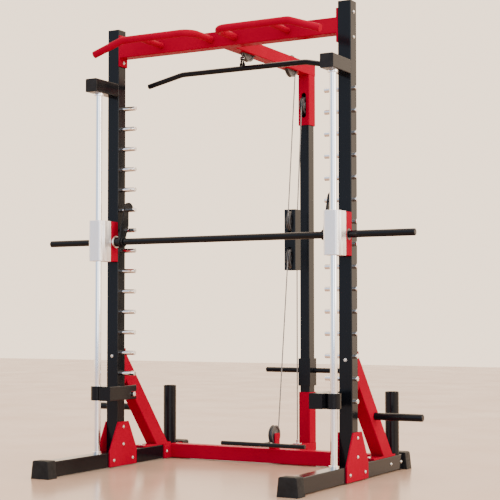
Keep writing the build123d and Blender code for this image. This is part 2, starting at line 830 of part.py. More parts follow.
box_rear = front_y - 6.5
bearing_radius = 24.0
with BuildPart() as bearing_boxes:
    with BuildSketch(Plane.XY.offset(housing_bottom + 1)):
        with Locations((upright_x, (housing_rear + box_rear) / 2)):
            Rectangle(2 * housing_half_width, box_rear - housing_rear)
            Rectangle(2 * housing_half_width - 10, box_rear - housing_rear - 5, mode=Mode.SUBTRACT)
    extrude(amount=housing_top - housing_bottom - 2)
    with BuildSketch(Plane.YZ.offset(upright_x - housing_half_width)):
        with Locations((bar_y, bar_z)):
            Circle(bearing_radius)
    extrude(amount=2 * housing_half_width, mode=Mode.SUBTRACT)
    mirror(about=Plane.YZ)
save(bearing_boxes.part, "bearing_boxes")

with BuildPart() as bar_bearings:
    with BuildSketch(Plane.YZ.offset(upright_x - housing_half_width)):
        with Locations((bar_y, bar_z)):
            Circle(bearing_radius)
            Circle(bar_radius + running_gap, mode=Mode.SUBTRACT)
    extrude(amount=2 * housing_half_width)
    mirror(about=Plane.YZ)
save(bar_bearings.part, "bar_bearings")

with BuildPart() as smith_bar:
    with BuildSketch(Plane.YZ.offset(-bar_half)):
        with Locations((bar_y, bar_z)):
            Circle(bar_radius)
    extrude(amount=2 * bar_half)
    fillet(smith_bar.edges().filter_by(GeomType.CIRCLE), radius=4)
save(smith_bar.part, "smith_bar")

# hook outline in the YZ plane, measured from the bar's axis
hook_thickness = 8.0
peg_dy = mid_y - bar_y
peg_dz = top_peg_z - 5 * peg_pitch - bar_z
seat_radius = peg_radius + 0.4
lip_radius = math.hypot(peg_dy, peg_dz) + seat_radius
lip_angle = math.atan2(peg_dz, peg_dy)
tip_angle = lip_angle - math.radians(6.5)
seat_turn = (lip_radius * math.cos(lip_angle), lip_radius * math.sin(lip_angle))
seat_left = (peg_dy - seat_radius, peg_dz)
seat_corner = (
    peg_dy + seat_radius * math.cos(math.radians(130)),
    peg_dz + seat_radius * math.sin(math.radians(130)),
)
tip_inner = (lip_radius * math.cos(tip_angle), lip_radius * math.sin(tip_angle))
tip_outer = ((lip_radius + 8) * math.cos(tip_angle), (lip_radius + 8) * math.sin(tip_angle))
lip_middle_angle = (lip_angle + tip_angle) / 2
lip_middle = (lip_radius * math.cos(lip_middle_angle), lip_radius * math.sin(lip_middle_angle))
back_edge = peg_dy - peg_radius - 1.0
hub_radius = 27.0
hub_start = hook_x - 14
hub_collar_width = 9.0
collar_end = upright_x - housing_half_width - 2
with BuildPart() as lock_hooks:
    with BuildSketch(Plane(origin=(hook_x, bar_y, bar_z), x_dir=(0, 1, 0), z_dir=(1, 0, 0))):
        with BuildLine():
            Line((-20, 18), (-8, 72))
            Line((-8, 72), (4, 100))
            Line((4, 100), (22, 162))
            ThreePointArc((22, 162), (44, 182), tip_outer)
            Line(tip_outer, tip_inner)
            ThreePointArc(tip_inner, lip_middle, seat_turn)
            ThreePointArc(seat_turn, seat_corner, seat_left)
            Line(seat_left, (back_edge, peg_dz - 14))
            Line((back_edge, peg_dz - 14), (back_edge, 76))
            Line((back_edge, 76), (24, 12))
            Line((24, 12), (-20, 18))
        make_face()
        Circle(hub_radius)
        Circle(bar_radius, mode=Mode.SUBTRACT)
    extrude(amount=hook_thickness / 2, both=True)
    # hub, and the collar that keeps it off the carriage
    with BuildSketch(Plane.YZ.offset(hub_start)):
        with Locations((bar_y, bar_z)):
            Circle(hub_radius - 5)
            Circle(bar_radius, mode=Mode.SUBTRACT)
    extrude(amount=collar_end - hub_start)
    with BuildSketch(Plane.YZ.offset(collar_end)):
        with Locations((bar_y, bar_z)):
            Circle(hub_radius)
            Circle(bar_radius, mode=Mode.SUBTRACT)
    extrude(amount=-hub_collar_width)
    mirror(about=Plane.YZ)
save(lock_hooks.part, "lock_hooks")

# ---------------------------------------------------------------- lat bar and its hanger
lat_radius = 12.0
lat_hole_z = lat_z + 18.0
lat_bend_x = 320.0
lat_end_x = 505.0
lat_end_drop = 40.0
ring_wire = 4.0  # rings of the two cable bars
ring_width = 7.0
ring_across = 24.0
lat_ring_length = 26.0
lat_ring_mid = lat_hole_z - ring_wire + lat_ring_length / 2
lat_ring_top = lat_hole_z - ring_wire + lat_ring_length
swivel_radius = 2.0
swivel_head = 3.4
swivel_head_height = 2.5
swivel_play = 0.5
swivel_reach = ring_wire + 2 * swivel_play + swivel_head_height
with BuildPart() as lat_bar:
    with BuildLine():
        lat_path = FilletPolyline(
            (-lat_end_x, lat_y, lat_z - lat_end_drop),
            (-lat_bend_x, lat_y, lat_z),
            (lat_bend_x, lat_y, lat_z),
            (lat_end_x, lat_y, lat_z - lat_end_drop),
            radius=120,
        )
    with BuildSketch(Plane(origin=lat_path @ 0, z_dir=lat_path % 0)):
        Circle(lat_radius)
    sweep()
    # lug on top of the bar
    with BuildSketch(Plane.XZ.offset(-lat_y - 3)):
        with Locations((0, lat_z + 14)):
            RectangleRounded(26, 24, 6)
        with Locations((0, lat_hole_z)):
            Circle(5.6, mode=Mode.SUBTRACT)
    extrude(amount=6)
    # loose ring through the lug, with a hole for the hanger's swivel pin
    with BuildSketch(Plane.YZ.offset(-ring_width / 2)):
        with Locations((lat_y, lat_ring_mid)):
            RectangleRounded(ring_across, lat_ring_length, 11)
            RectangleRounded(
                ring_across - 2 * ring_wire, lat_ring_length - 2 * ring_wire, 5, mode=Mode.SUBTRACT
            )
    extrude(amount=ring_width)
    with BuildSketch(Plane.XY.offset(lat_ring_mid)):
        with Locations((0, lat_y)):
            Circle(swivel_radius + running_gap)
    extrude(amount=lat_ring_length, mode=Mode.SUBTRACT)
save(lat_bar.part, "lat_bar")

with BuildPart() as lat_hanger:
    # rubber stop on the cable's end, with the swivel pin under it
    with BuildSketch(Plane.XY.offset(lat_ring_top + swivel_play)):
        with Locations((0, lat_y)):
            Circle(lat_stop_radius)
    extrude(amount=lat_stop_top - lat_ring_top - swivel_play)
    with BuildSketch(Plane.XY.offset(lat_ring_top + swivel_play)):
        with Locations((0, lat_y)):
            Circle(swivel_radius)
    extrude(amount=-swivel_reach)
    with BuildSketch(Plane.XY.offset(lat_ring_top - ring_wire - swivel_play)):
        with Locations((0, lat_y)):
            Circle(swivel_head)
    extrude(amount=-swivel_head_height)
save(lat_hanger.part, "lat_hanger")

# ---------------------------------------------------------------- low row bar and its hanger
low_bar_half = 217.0
low_bar_radius = 10.0
low_hole_y = low_bar_y + 24.0
low_stop_length = 20.0
low_stop_front = low_stop_rear - low_stop_length
low_ring_end = low_stop_front - swivel_play
low_ring_length = low_ring_end - low_hole_y + ring_wire
with BuildPart() as low_bar:
    with BuildSketch(Plane.YZ.offset(-low_bar_half)):
        with Locations((low_bar_y, low_bar_z)):
            Circle(low_bar_radius)
    extrude(amount=2 * low_bar_half)
    with BuildSketch(Plane.XY.offset(low_bar_z - 3)):
        with Locations((0, low_bar_y + 18)):
            RectangleRounded(22, 28, 6)
        with Locations((0, low_hole_y)):
            Circle(5.6, mode=Mode.SUBTRACT)
    extrude(amount=6)
    with BuildSketch(Plane.YZ.offset(-ring_width / 2)):
        with Locations((low_ring_end - low_ring_length / 2, low_bar_z)):
            RectangleRounded(low_ring_length, 18, 8.5)
            RectangleRounded(low_ring_length - 2 * ring_wire, 18 - 2 * ring_wire, 2, mode=Mode.SUBTRACT)
    extrude(amount=ring_width)
    with BuildSketch(Plane.XZ.offset(-(low_ring_end - 2 * ring_wire))):
        with Locations((0, low_bar_z)):
            Circle(swivel_radius + running_gap)
    extrude(amount=-3 * ring_wire, mode=Mode.SUBTRACT)
save(low_bar.part, "low_bar")

with BuildPart() as low_bar_hanger:
    with BuildSketch(Plane.XZ.offset(-low_stop_front)):
        with Locations((0, low_bar_z)):
            Circle(8)
    extrude(amount=-low_stop_length)
    with BuildSketch(Plane.XZ.offset(-low_stop_front)):
        with Locations((0, low_bar_z)):
            Circle(swivel_radius)
    extrude(amount=swivel_reach)
    with BuildSketch(Plane.XZ.offset(-(low_ring_end - ring_wire - swivel_play))):
        with Locations((0, low_bar_z)):
            Circle(swivel_head)
    extrude(amount=swivel_head_height)
save(low_bar_hanger.part, "low_bar_hanger")

# ---------------------------------------------------------------- safety spotters
liner_radius = rod_radius + 3.0
spotter_ring = 30.0
spotter_height = 64.0
spotter_bottom = low_peg_z - 24.0
spotter_x = 523.0
spotter_front = front_y - 150.0
notch_height = 2 * peg_radius + 3.0


def spotter(side):
    """A ring round the liner with a square tube that the lowest lock peg holds."""
    with BuildPart() as piece:
        with BuildSketch(Plane.XZ.offset(-spotter_front)):
            with Locations((side * spotter_x, spotter_bottom + spotter_height / 2)):
                RectangleRounded(tube, spotter_height, corner)
                Rectangle(tube - 2 * wall, spotter_height - 2 * wall, mode=Mode.SUBTRACT)
        extrude(amount=spotter_front - back_y)
        # closed front
        with BuildSketch(Plane.XZ.offset(-spotter_front)):
            with Locations((side * spotter_x, spotter_bottom + spotter_height / 2)):
                RectangleRounded(tube, spotter_height, corner)
        extrude(amount=-wall)
        with BuildSketch(Plane.XY.offset(spotter_bottom)):
            with Locations((side * upright_x, rod_y)):
                Circle(spotter_ring)
            with Locations((side * (spotter_x + tube / 2 + 3), rod_y)):
                Rectangle(7, 46)
            with Locations((side * upright_x, rod_y)):
                Circle(liner_radius + running_gap, mode=Mode.SUBTRACT)
        extrude(amount=spotter_height)
        # notch, open at the rear, that swings onto the lock peg
        with BuildSketch(Plane.YZ.offset(side * spotter_x - tube)):
            with Locations(((mid_y - 13 + back_y + 5) / 2, low_peg_z)):
                Rectangle(back_y + 5 - mid_y + 13, notch_height)
        extrude(amount=2 * tube, mode=Mode.SUBTRACT)
    return piece.part


def liner(side):
    """Plastic liner between a guide rod and its spotter."""
    with BuildPart() as sleeve:
        with BuildSketch(Plane.XY.offset(spotter_bottom)):
            with Locations((side * upright_x, rod_y)):
                Circle(liner_radius)
                Circle(rod_radius + running_gap, mode=Mode.SUBTRACT)
        extrude(amount=spotter_height)
    return sleeve.part


for side, word in ((-1, "left"), (1, "right")):
    with BuildPart() as safety_spotter:
        add(spotter(side))
    save(safety_spotter.part, f"{word}_spotter")
    with BuildPart() as spotter_liner:
        add(liner(side))
    save(spotter_liner.part, f"{word}_spotter_liner")
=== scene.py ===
"""Smith machine in a plain studio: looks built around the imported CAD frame.
Metres, in the CAD's frame: +Z up, +Y from the front to the back, origin on the floor."""

import json
import math

import bmesh
import bpy
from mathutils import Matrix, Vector


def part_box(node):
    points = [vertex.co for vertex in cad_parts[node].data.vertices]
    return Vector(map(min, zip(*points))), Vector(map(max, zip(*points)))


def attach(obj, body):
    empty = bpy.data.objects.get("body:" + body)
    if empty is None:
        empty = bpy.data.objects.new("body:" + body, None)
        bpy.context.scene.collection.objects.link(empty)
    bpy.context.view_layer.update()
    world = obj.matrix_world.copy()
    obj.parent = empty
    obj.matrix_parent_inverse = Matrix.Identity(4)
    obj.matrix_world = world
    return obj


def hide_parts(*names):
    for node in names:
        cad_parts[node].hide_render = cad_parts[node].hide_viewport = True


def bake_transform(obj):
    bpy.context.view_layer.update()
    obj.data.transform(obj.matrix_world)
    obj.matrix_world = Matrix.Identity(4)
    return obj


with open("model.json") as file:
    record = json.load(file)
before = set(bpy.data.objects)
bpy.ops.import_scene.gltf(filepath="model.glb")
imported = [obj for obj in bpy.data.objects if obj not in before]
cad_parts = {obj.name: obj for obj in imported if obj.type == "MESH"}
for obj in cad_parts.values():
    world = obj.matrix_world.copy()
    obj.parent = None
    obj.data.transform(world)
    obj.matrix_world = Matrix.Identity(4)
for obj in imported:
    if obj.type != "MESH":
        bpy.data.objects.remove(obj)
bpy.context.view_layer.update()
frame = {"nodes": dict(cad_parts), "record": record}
nodes = frame["nodes"]
scene = bpy.context.scene


# ---------------------------------------------------------------- node helpers
class Shader:
    """A material with one Principled shader and short calls for the nodes that feed it."""

    def __init__(self, name, **values):
        self.material = bpy.data.materials.new(name)
        self.material.use_nodes = True
        self.tree = self.material.node_tree
        self.surface = self.tree.nodes["Principled BSDF"]
        for key, value in values.items():
            self.surface.inputs[key.replace("_", " ")].default_value = value
        self.coords = self.tree.nodes.new("ShaderNodeTexCoord").outputs["Object"]

    def node(self, kind, **settings):
        made = self.tree.nodes.new("ShaderNode" + kind)
        for key, value in settings.items():
            setattr(made, key, value)
        return made

    def wire(self, source, target):
        self.tree.links.new(source, target)

    def scaled(self, scale):
        """Object coordinates stretched by a factor along each axis."""
        mapping = self.node("Mapping")
        mapping.inputs["Scale"].default_value = scale
        self.wire(self.coords, mapping.inputs["Vector"])
        return mapping.outputs["Vector"]

    def noise(self, scale, detail=3.0, stretch=(1, 1, 1), roughness=0.5):
        made = self.node("TexNoise")
        made.inputs["Scale"].default_value = scale
        made.inputs["Detail"].default_value = detail
        made.inputs["Roughness"].default_value = roughness
        self.wire(self.scaled(stretch), made.inputs["Vector"])
        return made.outputs["Fac"]

    def remap(self, source, low, high, to_low, to_high):
        made = self.node("MapRange")
        for key, value in zip(("From Min", "From Max", "To Min", "To Max"), (low, high, to_low, to_high)):
            made.inputs[key].default_value = value
        self.wire(source, made.inputs["Value"])
        return made.outputs["Result"]

    def mix(self, factor, first, second):
        """Colour mix; first and second are colours or sockets."""
        made = self.node("Mix", data_type="RGBA")
        self.wire(factor, made.inputs["Factor"])
        for key, value in ((6, first), (7, second)):
            if isinstance(value, bpy.types.NodeSocket):
                self.wire(value, made.inputs[key])
            else:
                made.inputs[key].default_value = (*value, 1)
        return made.outputs[2]

    def math(self, operation, first, second):
        made = self.node("Math", operation=operation)
        for index, value in enumerate((first, second)):
            if isinstance(value, bpy.types.NodeSocket):
                self.wire(value, made.inputs[index])
            else:
                made.inputs[index].default_value = value
        return made.outputs[0]

    def bump(self, height, strength, distance, normal=None):
        made = self.node("Bump")
        made.inputs["Strength"].default_value = strength
        made.inputs["Distance"].default_value = distance
        self.wire(height, made.inputs["Height"])
        if normal is not None:
            self.wire(normal, made.inputs["Normal"])
        return made.outputs["Normal"]

    def feed(self, key, source):
        self.wire(source, self.surface.inputs[key])

    def upward(self):
        """How far the surface faces up, from 0 to 1."""
        split = self.node("SeparateXYZ")
        self.wire(self.node("NewGeometry").outputs["Normal"], split.inputs["Vector"])
        return self.remap(split.outputs["Z"], 0.5, 1.0, 0.0, 1.0)

    def edges(self, radius):
        """(mask on sharp edges, for wear and, in the powder coat, a painted edge highlight; softened
        normal).
        """
        bevel = self.node("Bevel", samples=6)
        bevel.inputs["Radius"].default_value = radius
        geometry = self.node("NewGeometry")
        dot = self.node("VectorMath", operation="DOT_PRODUCT")
        self.wire(bevel.outputs["Normal"], dot.inputs[0])
        self.wire(geometry.outputs["Normal"], dot.inputs[1])
        return self.remap(dot.outputs["Value"], 0.93, 0.75, 0.0, 1.0), bevel.outputs["Normal"]


# ---------------------------------------------------------------- materials
DUST = (0.42, 0.37, 0.32)


def powder_coat(name, colour, edge_wear_and_highlight_colour, dust_share, roughness, index):
    """Glossy powder coat: orange-peel texture, thin lighter edges that are partly wear and partly a painted
    highlight, faint smudges and dust.
    """
    s = Shader(name, Metallic=0.0, IOR=index)
    edge_mask, soft = s.edges(0.0018)
    tone = s.noise(3.5, 4.0)
    lighter = tuple(c * 1.2 for c in colour)
    base = s.mix(s.remap(tone, 0.35, 0.65, 0.0, 1.0), colour, lighter)
    # Lighter colour on sharp edges: partly edge wear, partly a painted highlight.
    chips_and_edge_highlight = s.math("MULTIPLY", edge_mask, s.remap(s.noise(60, 3.0), 0.3, 0.7, 0.1, 0.6))
    base = s.mix(chips_and_edge_highlight, base, edge_wear_and_highlight_colour)
    patches = s.remap(s.noise(14, 5.0, roughness=0.65), 0.35, 0.75, 0.0, dust_share)
    dust = s.math("MULTIPLY", s.upward(), patches)
    s.feed("Base Color", s.mix(dust, base, DUST))
    smudge = s.remap(s.noise(7, 4.0, (1, 1, 0.4)), 0.3, 0.7, roughness - 0.03, roughness + 0.07)
    s.feed("Roughness", s.math("ADD", smudge, s.math("MULTIPLY", dust, 1.2)))
    s.feed("Normal", s.bump(s.noise(420, 2.0), 0.12, 0.0002, soft))
    return s.material


def chrome(name):
    """Hard chrome with faint lengthwise polishing marks."""
    s = Shader(name, Metallic=1.0)
    marks = s.noise(700, 3.0, (1, 1, 0.02))
    clouds = s.remap(s.noise(5, 3.0), 0.35, 0.65, 0.0, 1.0)
    s.feed("Base Color", s.mix(clouds, (0.86, 0.87, 0.89), (0.93, 0.93, 0.93)))
    s.feed("Roughness", s.remap(marks, 0.3, 0.7, 0.05, 0.12))
    s.feed("Normal", s.bump(marks, 0.04, 0.0001))
    return s.material


def plated(name, colour, rough=0.25):
    """Bright zinc-plated or machined steel with a fine uneven finish."""
    s = Shader(name, Metallic=1.0)
    soft = s.edges(0.0006)[1]
    darker = tuple(c * 0.82 for c in colour)
    spangle = s.remap(s.noise(160, 4.0), 0.35, 0.65, 0.0, 1.0)
    s.feed("Base Color", s.mix(spangle, colour, darker))
    s.feed("Roughness", s.remap(s.noise(300, 3.0), 0.3, 0.7, rough - 0.07, rough + 0.1))
    s.feed("Normal", s.bump(s.noise(900, 2.0), 0.06, 0.0001, soft))
    return s.material


def extruded_aluminium(name):
    """Clear-anodised extrusion with die lines that run along the guide rods."""
    s = Shader(name, Metallic=0.8)
    edge_mask, soft = s.edges(0.0012)
    lines = s.noise(420, 4.0, (1, 1, 0.004))
    tone = s.mix(s.remap(lines, 0.3, 0.7, 0.0, 1.0), (0.93, 0.94, 0.96), (0.98, 0.98, 0.98))
    s.feed("Base Color", s.mix(s.math("MULTIPLY", edge_mask, 0.5), tone, (0.97, 0.97, 0.97)))
    s.feed("Roughness", s.remap(lines, 0.3, 0.7, 0.34, 0.48))
    s.feed("Normal", s.bump(lines, 0.10, 0.0001, soft))
    return s.material


def rubber(name, tone=0.006, rough=0.55):
    """Black rubber with a fine grain and a slightly greyed surface."""
    s = Shader(name, Metallic=0.0, IOR=1.3)
    edge_mask, soft = s.edges(0.002)
    dark = (tone, tone, tone * 1.05)
    base = s.mix(s.remap(s.noise(40, 5.0), 0.35, 0.7, 0.0, 1.0), dark, tuple(c * 1.9 for c in dark))
    base = s.mix(s.math("MULTIPLY", edge_mask, 0.35), base, (0.06, 0.058, 0.056))
    dust = s.math("MULTIPLY", s.upward(), s.remap(s.noise(25, 5.0), 0.4, 0.7, 0.0, 0.05))
    s.feed("Base Color", s.mix(dust, base, (0.40, 0.36, 0.32)))
    s.feed("Roughness", s.remap(s.noise(120, 3.0), 0.3, 0.7, rough - 0.08, rough + 0.1))
    s.feed("Normal", s.bump(s.noise(1500, 2.0), 0.25, 0.0003, soft))
    return s.material


def moulded_nylon(name):
    """Dark grey moulded nylon with a fine pebble and flow marks."""
    s = Shader(name, Metallic=0.0, Specular_IOR_Level=0.5)
    edge_mask, soft = s.edges(0.0008)
    flow = s.noise(30, 4.0, (3, 1, 1))
    base = s.mix(s.remap(flow, 0.3, 0.7, 0.0, 1.0), (0.028, 0.029, 0.032), (0.055, 0.056, 0.060))
    s.feed("Base Color", s.mix(s.math("MULTIPLY", edge_mask, 0.6), base, (0.14, 0.14, 0.145)))
    s.feed("Roughness", s.remap(s.noise(260, 3.0), 0.3, 0.7, 0.30, 0.46))
    s.feed("Normal", s.bump(s.noise(900, 2.0), 0.15, 0.0002, soft))
    return s.material


def coated_cable(name):
    """Steel strands under a clear-black coat: a helical twist read from the tube's own UVs."""
    s = Shader(name, Metallic=0.25, Coat_Weight=0.6, Coat_Roughness=0.15)
    uv = s.node("UVMap").outputs["UV"]
    split = s.node("SeparateXYZ")
    s.wire(uv, split.inputs["Vector"])
    strands = 7.0
    turns_per_metre = 60.0
    angle = s.math("ADD", s.math("MULTIPLY", split.outputs["X"], strands),
                   s.math("MULTIPLY", split.outputs["Y"], turns_per_metre))
    twist = s.math("SINE", s.math("MULTIPLY", angle, 2 * math.pi), 0.0)  # a sine reads one input
    shade = s.remap(twist, -1.0, 1.0, 0.0, 1.0)
    s.feed("Base Color", s.mix(shade, (0.035, 0.035, 0.037), (0.20, 0.195, 0.19)))
    s.feed("Roughness", s.remap(shade, 0.0, 1.0, 0.42, 0.28))
    s.feed("Normal", s.bump(shade, 0.35, 0.0003))
    return s.material


# The third colour is the lighter edge colour: partly edge wear, partly a painted highlight.
black = powder_coat("black_powder_coat", (0.0040, 0.0047, 0.0065), (0.03, 0.03, 0.033), 0.02, 0.14, 1.28)
red = powder_coat("red_powder_coat", (0.30, 0.0, 0.018), (0.42, 0.02, 0.04), 0.004, 0.24, 1.04)
steel_chrome = chrome("hard_chrome")
zinc = plated("zinc_plate", (0.80, 0.79, 0.76))
dark_steel = plated("bearing_steel", (0.42, 0.43, 0.45), 0.22)
alloy = extruded_aluminium("anodised_aluminium")
black_rubber = rubber("black_rubber")
nylon = moulded_nylon("moulded_nylon")
cable_look = coated_cable("coated_cable")

looks = {
    "red_paint": red, "black_paint": black, "chrome": steel_chrome, "zinc": zinc, "aluminium": alloy,
    "rubber": black_rubber, "nylon": nylon, "bearing_steel": dark_steel, "coated_cable": cable_look,
}
for row in frame["record"]["subparts"]:
    mesh = nodes[row["node"]].data
    mesh.materials.clear()
    mesh.materials.append(looks[row["material_slot"]])


# ---------------------------------------------------------------- mesh helpers
def middle(node):
    """Middle of a node's box."""
    low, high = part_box(node)
    return (low + high) / 2


def outward_mesh(name, points, faces):
    """A mesh of closed shapes whose faces all point outwards."""
    mesh = bpy.data.meshes.new(name)
    mesh.from_pydata([tuple(p) for p in points], [], faces)
    turning = bmesh.new()
    turning.from_mesh(mesh)
    bmesh.ops.recalc_face_normals(turning, faces=turning.faces)
    turning.to_mesh(mesh)
    turning.free()
    return mesh


def add_object(name, mesh, material, angle):
    """Puts a mesh in the scene, smooth except where it turns by more than the angle in degrees."""
    mesh.shade_smooth()
    mesh.set_sharp_from_angle(angle=math.radians(angle))
    mesh.materials.append(material)
    made = bpy.data.objects.new(name, mesh)
    scene.collection.objects.link(made)
    return made


def piece(name, body, material, shapes, replaces=(), angle=35):
    """One object made of several (points, faces) shapes, riding on a body."""
    points, faces = [], []
    for shape_points, shape_faces in shapes:
        start = len(points)
        points += shape_points
        faces += [tuple(start + i for i in face) for face in shape_faces]
    made = add_object(name, outward_mesh(name, points, faces), material, angle)
    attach(made, body)
    if replaces:
        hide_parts(*replaces)


def bands(count, order, start=0):
    """Quads joining rings of count points, in the order given; start is the first ring's first point."""
    faces = []
    for first, second in zip(order, order[1:]):
        low, high = start + first * count, start + second * count
        for i in range(count):
            j = (i + 1) % count
            faces.append((low + i, low + j, high + j, high + i))
    return faces


def cap(count, ring, start=0):
    """One face that closes a ring."""
    return tuple(range(start + ring * count, start + (ring + 1) * count))


def frame_of(direction):
    """Rotation that takes +Z to a direction."""
    return Vector((0, 0, 1)).rotation_difference(Vector(direction)).to_matrix()


def turned(profile, centre, direction, segments=48):
    """A closed profile of (radius, height) turned about an axis; radius 0 closes an end."""
    rotation = frame_of(direction)
    centre = Vector(centre)
    points, faces, rings = [], [], []
    for radius, height in profile:
        if radius == 0:
            rings.append([len(points)])
            points.append(centre + rotation @ Vector((0, 0, height)))
            continue
        rings.append(list(range(len(points), len(points) + segments)))
        for i in range(segments):
            a = 2 * math.pi * i / segments
            points.append(centre + rotation @ Vector((radius * math.cos(a), radius * math.sin(a), height)))
    pairs = list(zip(rings, rings[1:]))
    if len(rings[0]) > 1 and len(rings[-1]) > 1:
        pairs.append((rings[-1], rings[0]))
    for first, second in pairs:
        for i in range(segments):
            j = (i + 1) % segments
            if len(first) == 1:
                faces.append((first[0], second[j], second[i]))
            elif len(second) == 1:
                faces.append((first[i], first[j], second[0]))
            else:
                faces.append((first[i], first[j], second[j], second[i]))
    return points, faces


def prism(outline, low, high, to_world):
    """An outline of (a, b) pushed from low to high; to_world turns (a, b, c) into a point."""
    count = len(outline)
    points = [to_world(a, b, low) for a, b in outline] + [to_world(a, b, high) for a, b in outline]
    faces = [tuple(range(count)), tuple(range(2 * count - 1, count - 1, -1))]
    faces += [(i, (i + 1) % count, count + (i + 1) % count, count + i) for i in range(count)]
    return points, faces


# ---------------------------------------------------------------- bolts
upright_x = middle("right_upright").x
half_tube = upright_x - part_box("right_upright")[0].x
cad_head = 0.005  # height of the plain heads that these bolts stand for
bolt_radius = 0.0060
bolt_top = 0.0049
washer_radius = 0.0074
washer_thickness = 0.0011
socket_radius = 0.0024
socket_floor = 0.0022


def socket_bolt(place, direction):
    """Domed head on a washer, with a hexagon socket sunk in it."""
    rotation = frame_of(direction)
    place = Vector(place)
    hole = bolt_radius / 2
    washer = [(hole, 0.0), (washer_radius, 0.0), (washer_radius, washer_thickness), (hole, washer_thickness)]
    sides, count = 6, 36
    dome = [(bolt_radius, washer_thickness), (bolt_radius, 0.0022), (bolt_radius * 0.93, 0.0036),
            (bolt_radius * 0.78, 0.0045), (bolt_radius * 0.55, bolt_top)]
    step = 2 * math.pi / sides
    angles = [2 * math.pi * i / count for i in range(count)]
    points = []
    for radius, height in dome:
        for a in angles:
            points.append(place + rotation @ Vector((radius * math.cos(a), radius * math.sin(a), height)))
    for height in (bolt_top, socket_floor):
        for a in angles:
            across = socket_radius / math.cos((a + step / 2) % step - step / 2)
            points.append(place + rotation @ Vector((across * math.cos(a), across * math.sin(a), height)))
    rings = len(dome) + 2
    faces = bands(count, range(rings)) + [cap(count, rings - 1), cap(count, 0)]
    return [turned(washer, place, direction, 32), (points, faces)]


def bolt_centres(node, axis):
    """Centres of a node's separate solids, and the two ends of each along an axis."""
    mesh = bmesh.new()
    mesh.from_mesh(nodes[node].data)
    bmesh.ops.remove_doubles(mesh, verts=mesh.verts, dist=1e-6)
    left, found = set(mesh.verts), []
    while left:
        group, queue = [], [left.pop()]
        while queue:
            vertex = queue.pop()
            group.append(vertex.co.copy())
            for edge in vertex.link_edges:
                other = edge.other_vert(vertex)
                if other in left:
                    left.remove(other)
                    queue.append(other)
        low = Vector(min(c[k] for c in group) for k in range(3))
        high = Vector(max(c[k] for c in group) for k in range(3))
        found.append(((low + high) / 2, low[axis], high[axis]))
    mesh.free()
    return sorted(found, key=lambda row: tuple(round(v, 4) for v in row[0]))


bolt_shapes = []
for node in ("gusset_bolts", "crossmember_bolts"):
    for centre, low, high in bolt_centres(node, 0):
        for end, way in ((low + cad_head, -1), (high - cad_head, 1)):
            bolt_shapes += socket_bolt((end, centre.y, centre.z), (way, 0, 0))
for centre, low, high in bolt_centres("brace_bolts", 1):
    if high - low > half_tube:
        bolt_shapes += socket_bolt((centre.x, low + cad_head, centre.z), (0, -1, 0))
    else:
        bolt_shapes += socket_bolt((centre.x, centre.y, centre.z - cad_head / 2), (0, 0, 1))
piece("bolt_heads", "frame", zinc, bolt_shapes,
      ("gusset_bolts", "crossmember_bolts", "brace_bolts"))

# ---------------------------------------------------------------- rubber caps
cap_base_half = 0.048
cap_top_half = 0.040
cap_edge = 0.006
cap_teeth = 13
pad_radius = 0.0253


def corner_arc(centre_x, centre_z, radius, first):
    """A quarter turn from the angle first, as (x, z)."""
    angles = [first + math.pi / 2 * k / 6 for k in range(7)]
    return [(centre_x + radius * math.cos(a), centre_z + radius * math.sin(a)) for a in angles]


def cap_outline(shrink, height):
    """Straight flared sides and rounded upper corners, as (x, z)."""
    base, arc_x, arc_z = cap_base_half - shrink, cap_top_half - shrink - cap_edge, height - cap_edge
    corners = corner_arc(arc_x, arc_z, cap_edge, 0.0) + corner_arc(-arc_x, arc_z, cap_edge, math.pi / 2)
    return [(-base, 0.0), (base, 0.0)] + corners


def foot_cap(side, near, far):
    """A flared cap with a toothed lip on its top edge at the outer end; near is the end on the tube."""
    height = cap_high.z
    out = 1 if far > near else -1
    centre_x = side * upright_x
    stations = [(near, 0.0015), (near + out * 0.0015, 0.0), (far - out * 0.003, 0.0),
                (far - out * 0.0009, 0.0009), (far, 0.003)]
    points = []
    for y, shrink in stations:
        outline = cap_outline(shrink, height - shrink)
        points += [Vector((centre_x + x, y, z)) for x, z in outline]
    count = len(outline)
    faces = bands(count, range(len(stations))) + [cap(count, 0), cap(count, len(stations) - 1)]
    shapes = [(points, faces)]
    pitch = 2 * (cap_top_half - cap_edge) / cap_teeth
    root, tip = height - 0.004, height + 0.0012
    ends = sorted((far - out * 0.010, far - out * 0.0004))
    for k in range(cap_teeth):
        x = centre_x - cap_top_half + cap_edge + (k + 0.5) * pitch
        tooth = [(x - pitch * 0.28, root), (x + pitch * 0.28, root),
                 (x + pitch * 0.2, tip), (x - pitch * 0.2, tip)]
        shapes.append(prism(tooth, *ends, lambda across, up, along: Vector((across, along, up))))
    return shapes


foot_low, foot_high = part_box("side_feet")
cap_low, cap_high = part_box("foot_end_caps")
cap_length = foot_low.y - cap_low.y
cap_shapes = []
for side in (-1, 1):
    cap_shapes += foot_cap(side, foot_low.y, cap_low.y)
    cap_shapes += foot_cap(side, foot_high.y, foot_high.y + cap_length)
tower = middle("rear_upright")
pad_angles = [math.radians(a) for a in range(0, 360, 10)]
pad = [(pad_radius * math.cos(a), pad_radius * math.sin(a)) for a in pad_angles]
cap_shapes.append(prism(pad, 0.0, foot_low.z, lambda x, y, z: Vector((x, tower.y + y, z))))
piece("rubber_caps", "frame", black_rubber, cap_shapes, ("foot_end_caps",))

# ---------------------------------------------------------------- carriage housings
housing_corner = 0.014
housing_lip = 0.0015
housing_chamfer = 0.0012
flute_start, flute_end, flute_depth = 0.015, 0.037, 0.0075  # start and end from the front face
crown_dip = 0.0025
housing_low, housing_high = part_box("carriage_housings")
rod_y = middle("guide_rods").y
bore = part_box("linear_bushings")[1].y - rod_y


